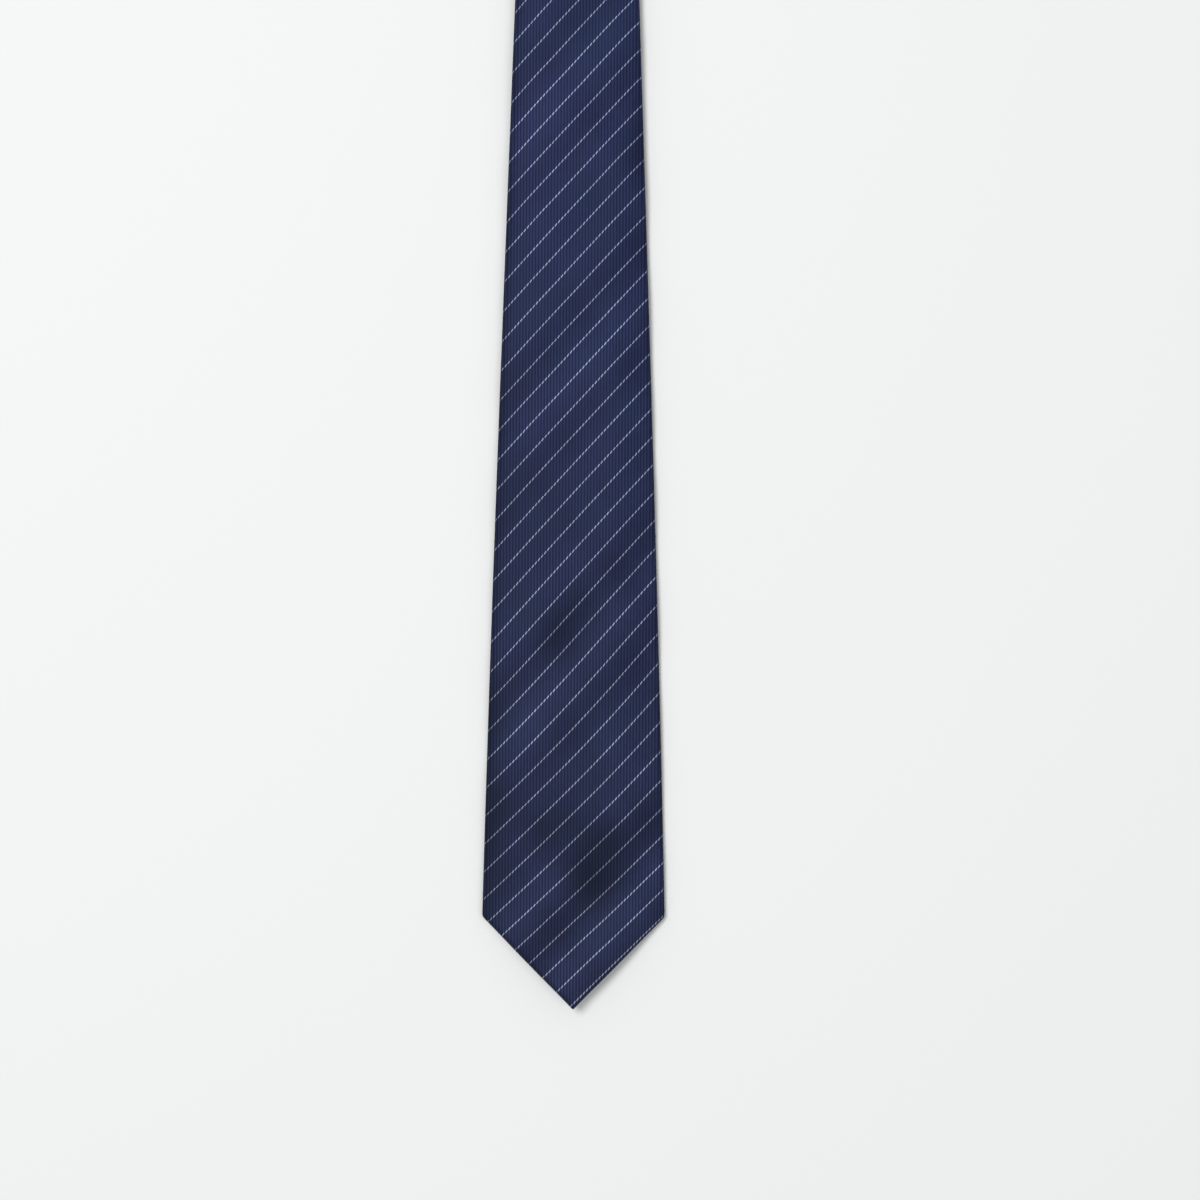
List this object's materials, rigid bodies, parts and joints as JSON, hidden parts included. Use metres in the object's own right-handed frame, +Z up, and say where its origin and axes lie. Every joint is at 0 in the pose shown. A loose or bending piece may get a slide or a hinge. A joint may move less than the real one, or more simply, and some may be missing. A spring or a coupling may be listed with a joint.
{
  "type": "necktie",
  "caption": "Long pointed necktie in dashed pinstripe silk, folded in half at the neck with the wide blade lying on the narrow one; it unfolds, and its point turns back.",
  "frame": {"origin": "middle of the underside of the folded tie, on the surface that it lies on", "axes": "+X across the tie to the right as seen from above, +Y along it from the front point to the neck fold, +Z up from the surface"},
  "size_m": [0.0796, 0.7506, 0.0091],
  "materials": {
    "shell_silk": "navy twill silk with fine lengthwise ribs and dashed pale diagonal pinstripes",
    "interlining_wool": "brushed woollen interlining, undyed",
    "tipping_satin": "smooth navy lining satin",
    "sewing_thread": "twisted navy sewing thread",
    "label_weave": "damask-woven label, plain",
    "tag_satin": "white satin care tag, blank"
  },
  "bodies": {
    "tail_blade": {"tail_shell": "shell_silk", "neck_shell_tail": "shell_silk", "tail_interlining": "interlining_wool", "tail_tipping": "tipping_satin", "tail_bar_tack": "sewing_thread", "tail_slip_stitch": "sewing_thread", "tail_seam_stitch": "sewing_thread", "tail_tipping_stitch_left": "sewing_thread", "tail_tipping_stitch_right": "sewing_thread"},
    "front_top": {"front_shell_top": "shell_silk", "neck_shell_front": "shell_silk", "front_interlining_top": "interlining_wool", "front_slip_stitch_top": "sewing_thread", "front_seam_stitch": "sewing_thread"},
    "front_tip": {"front_shell_tip": "shell_silk", "front_interlining_tip": "interlining_wool", "front_tipping": "tipping_satin", "front_tipping_stitch_left": "sewing_thread", "front_tipping_stitch_right": "sewing_thread", "front_bar_tack": "sewing_thread", "front_slip_stitch_tip": "sewing_thread", "keeper_loop": "shell_silk", "keeper_loop_tack_left": "sewing_thread", "keeper_loop_tack_right": "sewing_thread", "woven_label": "label_weave", "woven_label_stitch_left": "sewing_thread", "woven_label_stitch_right": "sewing_thread", "care_tag": "tag_satin"}
  },
  "joints": [
    {"name": "neck_unfold", "type": "hinge", "parent": "tail_blade", "child": "front_top", "pos_m": [0, 0.37567, 0.00453], "axis": [-1, 0, 0], "range_deg": [0, 179.95]},
    {"name": "blade_turn_back", "type": "hinge", "parent": "front_top", "child": "front_tip", "pos_m": [0, -0.11432, 0.00955], "axis": [-1, 0, 0], "range_deg": [0, 179.95]}
  ]
}
